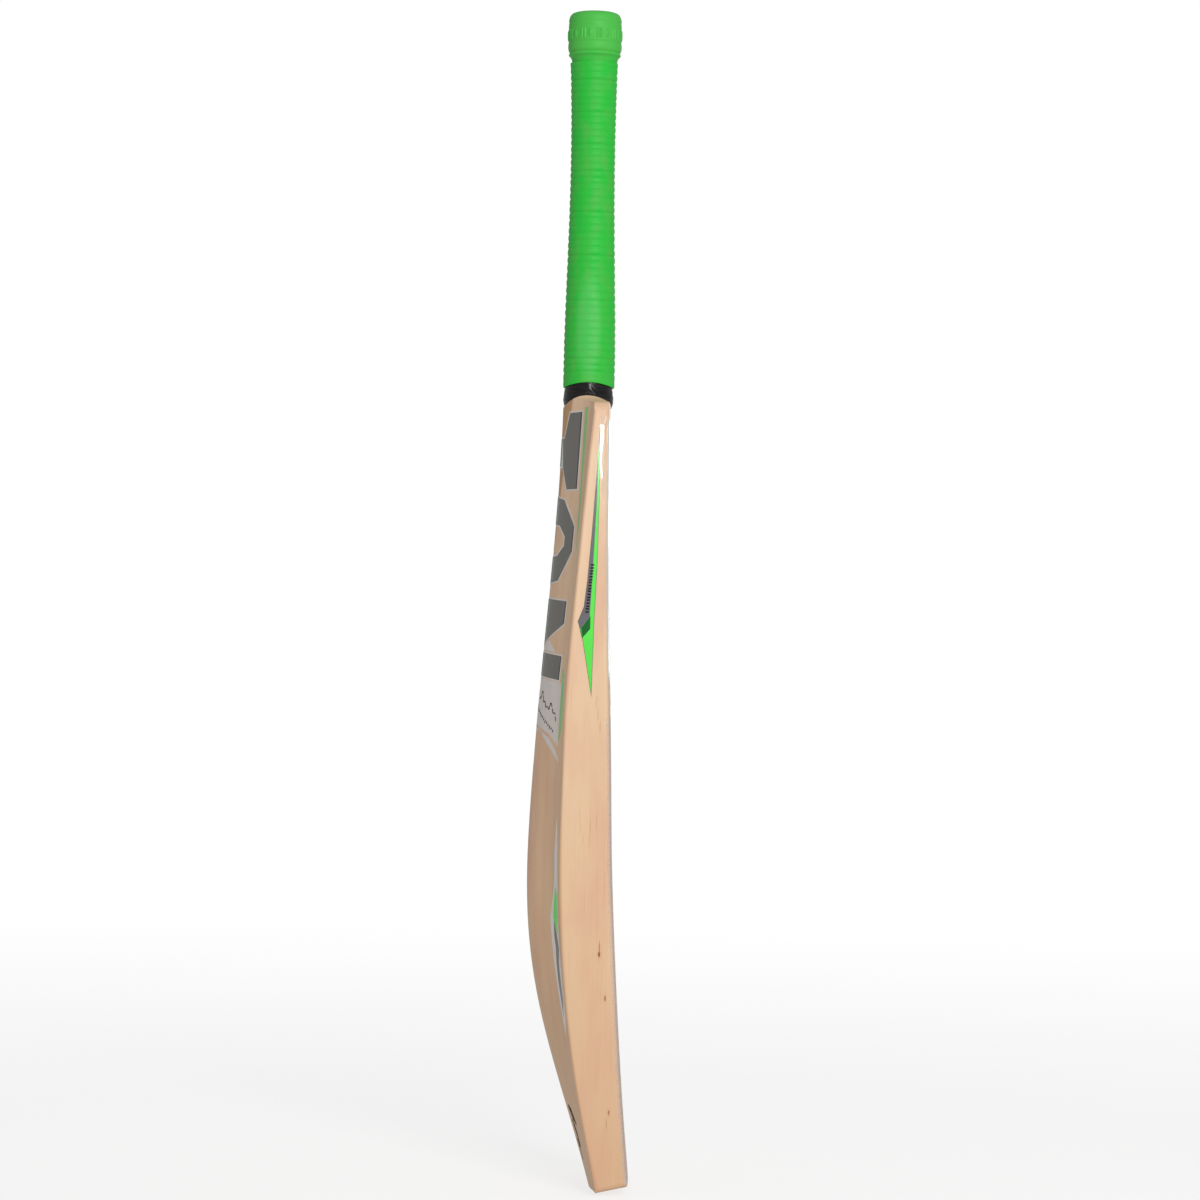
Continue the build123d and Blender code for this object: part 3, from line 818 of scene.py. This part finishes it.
# The areas of an edge's sticker, and the clear film by the shoulder, Y and Z
EDGE_DARK = mm((2.9, 405.5), (-4.1, 414.8), (-4.0, 406.2), (1.4, 399.8))
EDGE_WHOLE = mm((-8.6, 549), (-6.7, 514), (-4.3, 477), (-1.6, 441), (0.6, 422), (4.7, 411.5),
                (1.4, 400), (-5.9, 357.5), (-7.1, 412.5), (-8.7, 456), (-9.3, 506))
EDGE_GREY = mm((-8.6, 545), (-6.7, 514), (-4.3, 477), (-1.6, 441), (0.6, 422), (4.7, 411.5),
               (2.9, 405.5), (-4.1, 414.8), (-4.7, 427), (-6.0, 456), (-6.9, 477), (-7.9, 506))
EDGE_FILM = mm((-9.2, 569), (-13.2, 569), (-13.2, 512), (-12, 498), (-10.6, 505), (-9.6, 520))
# The lower sticker's areas, X and Z on the side at +X
LOWER_GREEN = mm((39.3, 221), (42.5, 214), (42.3, 198), (41.3, 185.7), (36.0, 197.4), (36.9, 207))
LOWER_DARK = mm((36.6, 196.4), (40.5, 185), (43.3, 175.2), (41.1, 165), (41.9, 152), (43, 139.3),
                (40.6, 126.1), (39.5, 138.9), (37.8, 151.6), (37.3, 164.5), (37.6, 177.5), (36.4, 184.6))


def back_prints(dark, shade, pale, ink, deep):
    """Dark panels inside pale borders, split by a green band, and a label below them."""
    for name, half in PANELS.items():
        path = inset(mirrored(half), BORDER)[:len(half)]
        part = beyond(path, BAND_GAP)
        top, foot = band_ends(path)
        bars = [(top, foot)]
        if name == "back_ring":
            hole = inset(mirrored(RING_HOLE), -BORDER)[:len(RING_HOLE)]
            part += beyond(hole, BAND_GAP)[::-1]
            hole_top, hole_foot = band_ends(hole)
            bars = [(top, hole_top), (hole_foot, foot)]
        lay_sheets(f"{name}_print", "back", [part, flipped(part)], dark, "sticker_dark")
        lay_sheets(f"{name}_band_print", "back", [a + b[::-1] for a, b in bars], deep, "sticker_green")
    strips = []
    for half in PANELS.values():
        top, foot = sorted(inset(mirrored(half), BORDER), key=lambda point: -point[0])[:2]
        inner = [(u - SHADE_WIDTH, z) for u, z in (foot, top)]
        strips += [[top, foot, *inner], flipped([top, foot, *inner])]
    lay_sheets("panel_shading_print", "back", strips, shade, "sticker_dark", lift=PRINT_LIFT + PRINT)
    marks = []
    for path in LABEL_STROKES:
        marks += pen(path, PEN_WIDTH) + pen(flipped(path), PEN_WIDTH)
    for i in range(LABEL_TICKS):
        along = i / (LABEL_TICKS - 1)
        u, z = [(start + run * along) * MM for start, run in zip(TICK_START, TICK_RUN)]
        foot = (u - TICK_LEAN, z - (TICK_LENGTH + TICK_LONGER * (i % 3)) * MM)
        tick = stroke([(u, z), foot], TICK_WIDTH)
        marks += [tick, flipped(tick)]
    lay_sheets("label_strokes_print", "back", marks, ink, "sticker_dark")
    lay_sheets("shield_foot_print", "back", [SHIELD_FOOT, flipped(SHIELD_FOOT)], pale, "sticker_grey")
    slashes = [stroke(path, TOE_SLASH_WIDTH) for path in TOE_SLASHES]
    slashes += [flipped(slash) for slash in slashes]
    lay_sheets("toe_slashes_print", "back", slashes, ink, "sticker_dark")


def side_prints(dark, green, deep, ink, grey, film):
    """Edge stickers and lower stickers, the same on both sides of the bat."""
    for side, sign in (("left", -1), ("right", 1)):
        lay_sheets(f"edge_green_print_{side}", side, [inset(EDGE_WHOLE, 0.3 * MM)], green,
                   "sticker_green", step=EDGE_STEP)
        lay_sheets(f"edge_grey_print_{side}", side, [inset(EDGE_GREY, 0.3 * MM)], grey,
                   "sticker_grey", lift=PRINT_LIFT + PRINT, step=EDGE_STEP)
        lay_sheets(f"edge_deep_print_{side}", side, [inset(EDGE_DARK, -0.2 * MM)], deep,
                   "sticker_green", lift=PRINT_LIFT + 2 * PRINT, step=EDGE_STEP)
        ticks = []
        for i in range(EDGE_TICKS):
            z = EDGE_TICK_TOP - EDGE_TICK_PITCH * i
            y = EDGE_TICK_Y + (EDGE_TICK_TOP - z) * EDGE_TICK_DRIFT
            ends = mm((y - EDGE_TICK_HALF, z), (y + EDGE_TICK_HALF, z - EDGE_TICK_SLANT * (i % 3)))
            ticks.append(stroke(ends, EDGE_TICK_WIDTH * MM))
        lay_sheets(f"edge_ticks_print_{side}", side, ticks, ink, "sticker_dark",
                   lift=PRINT_LIFT + 2 * PRINT, step=EDGE_STEP)
        lay_sheets(f"edge_film_{side}", side, [EDGE_FILM], film, "clear_sheet", step=EDGE_STEP)
        for name, area, colour, slot in (("green", LOWER_GREEN, green, "sticker_green"),
                                         ("dark", LOWER_DARK, dark, "sticker_dark")):
            outline = [(sign * u, z) for u, z in area]
            lay_sheets(f"lower_{name}_print_{side}", "back", [outline], colour, slot)


def face_prints(dark, green, grey):
    """Broad generic bands across the face's label."""
    bands = (("dark", dark, "sticker_dark", ((0, 520), (50, 545), (50, 505), (0, 480))),
             ("green", green, "sticker_green", ((0, 470), (50, 495), (50, 480), (0, 455))),
             ("grey", grey, "sticker_grey", ((0, 445), (50, 470), (50, 425), (0, 400))),
             ("lower", dark, "sticker_dark", ((0, 390), (50, 415), (50, 405), (0, 380))))
    for name, colour, slot, half in bands:
        lay_sheets(f"face_{name}_print", "face", [mirrored(mm(*half))], colour, slot, step=FACE_STEP)


# ---------------------------------------------------------------- the bat

bpy.context.scene.view_settings.view_transform = "Standard"
set_camera()
set_world(WORLD_LIGHT, WORLD_SEEN)
for light in LIGHTS:
    area_light(*light)

bpy.ops.mesh.primitive_circle_add(vertices=96, radius=FLOOR_RADIUS, fill_type="NGON", location=(0, 0, 0))
floor = bpy.context.object
floor.name = "studio_floor"
floor.data.materials.append(floor_finish())

bat_skin = Surface(*[name for name in frame["nodes"] if name not in ("rubber_grip", "shoulder_tape")])

dark_ink = sticker("print_dark", srgb(104, 104, 98), srgb(114, 110, 104), coat=0.3)
shade_ink = sticker("print_shade", srgb(52, 56, 66), srgb(66, 64, 72), coat=0.2)
pale_vinyl = sticker("vinyl_pale", srgb(232, 222, 216), srgb(220, 212, 206))
label_vinyl = sticker("vinyl_label", srgb(226, 216, 208), srgb(216, 208, 202))
bright_green = sticker("print_green", srgb(84, 232, 66), srgb(74, 214, 58))
soft_green = sticker("print_soft_green", srgb(128, 206, 118), srgb(140, 190, 120))
deep_green = sticker("print_deep_green", srgb(2, 98, 34), srgb(8, 88, 32), 0.4, 0.1, 0.25)
edge_grey = sticker("print_grey", srgb(98, 94, 102), srgb(106, 101, 108), coat=0.2)
pen_ink = sticker("print_pen", srgb(20, 15, 16), srgb(32, 26, 26), 0.6, 0.0, 0.05)
face_vinyl = sticker("vinyl_face", srgb(206, 204, 194), srgb(194, 196, 184), coat=0.2)
vinyl_rim = sticker("vinyl_rim", srgb(70, 78, 74), srgb(86, 92, 84))

NODE_FINISHES = {
    "blade": willow(),
    "string_binding": string(),
    "back_label": label_vinyl,
    "back_chevron": label_vinyl,
    "face_label": face_vinyl,
}
for prefix, finish in (("cane_", cane()), ("back_pinstripe", soft_green), ("back_trim", soft_green),
                       ("edge_sticker", vinyl_rim), ("lower_blade_sticker", pale_vinyl),
                       ("rubber_spring", rubber("spring_rubber", srgb(58, 52, 50), srgb(80, 70, 66)))):
    NODE_FINISHES.update({name: finish for name in frame["nodes"] if name.startswith(prefix)})
for name in PANELS:
    NODE_FINISHES[name] = pale_vinyl
for name, finish in NODE_FINISHES.items():
    frame["nodes"][name].material_slots[0].material = finish

rubber_grip()
shoulder_tape()
clear_sheet()
back_prints(dark_ink, shade_ink, pale_vinyl, pen_ink, deep_green)
side_prints(dark_ink, bright_green, deep_green, pen_ink, edge_grey, glossy_film())
face_prints(dark_ink, bright_green, edge_grey)
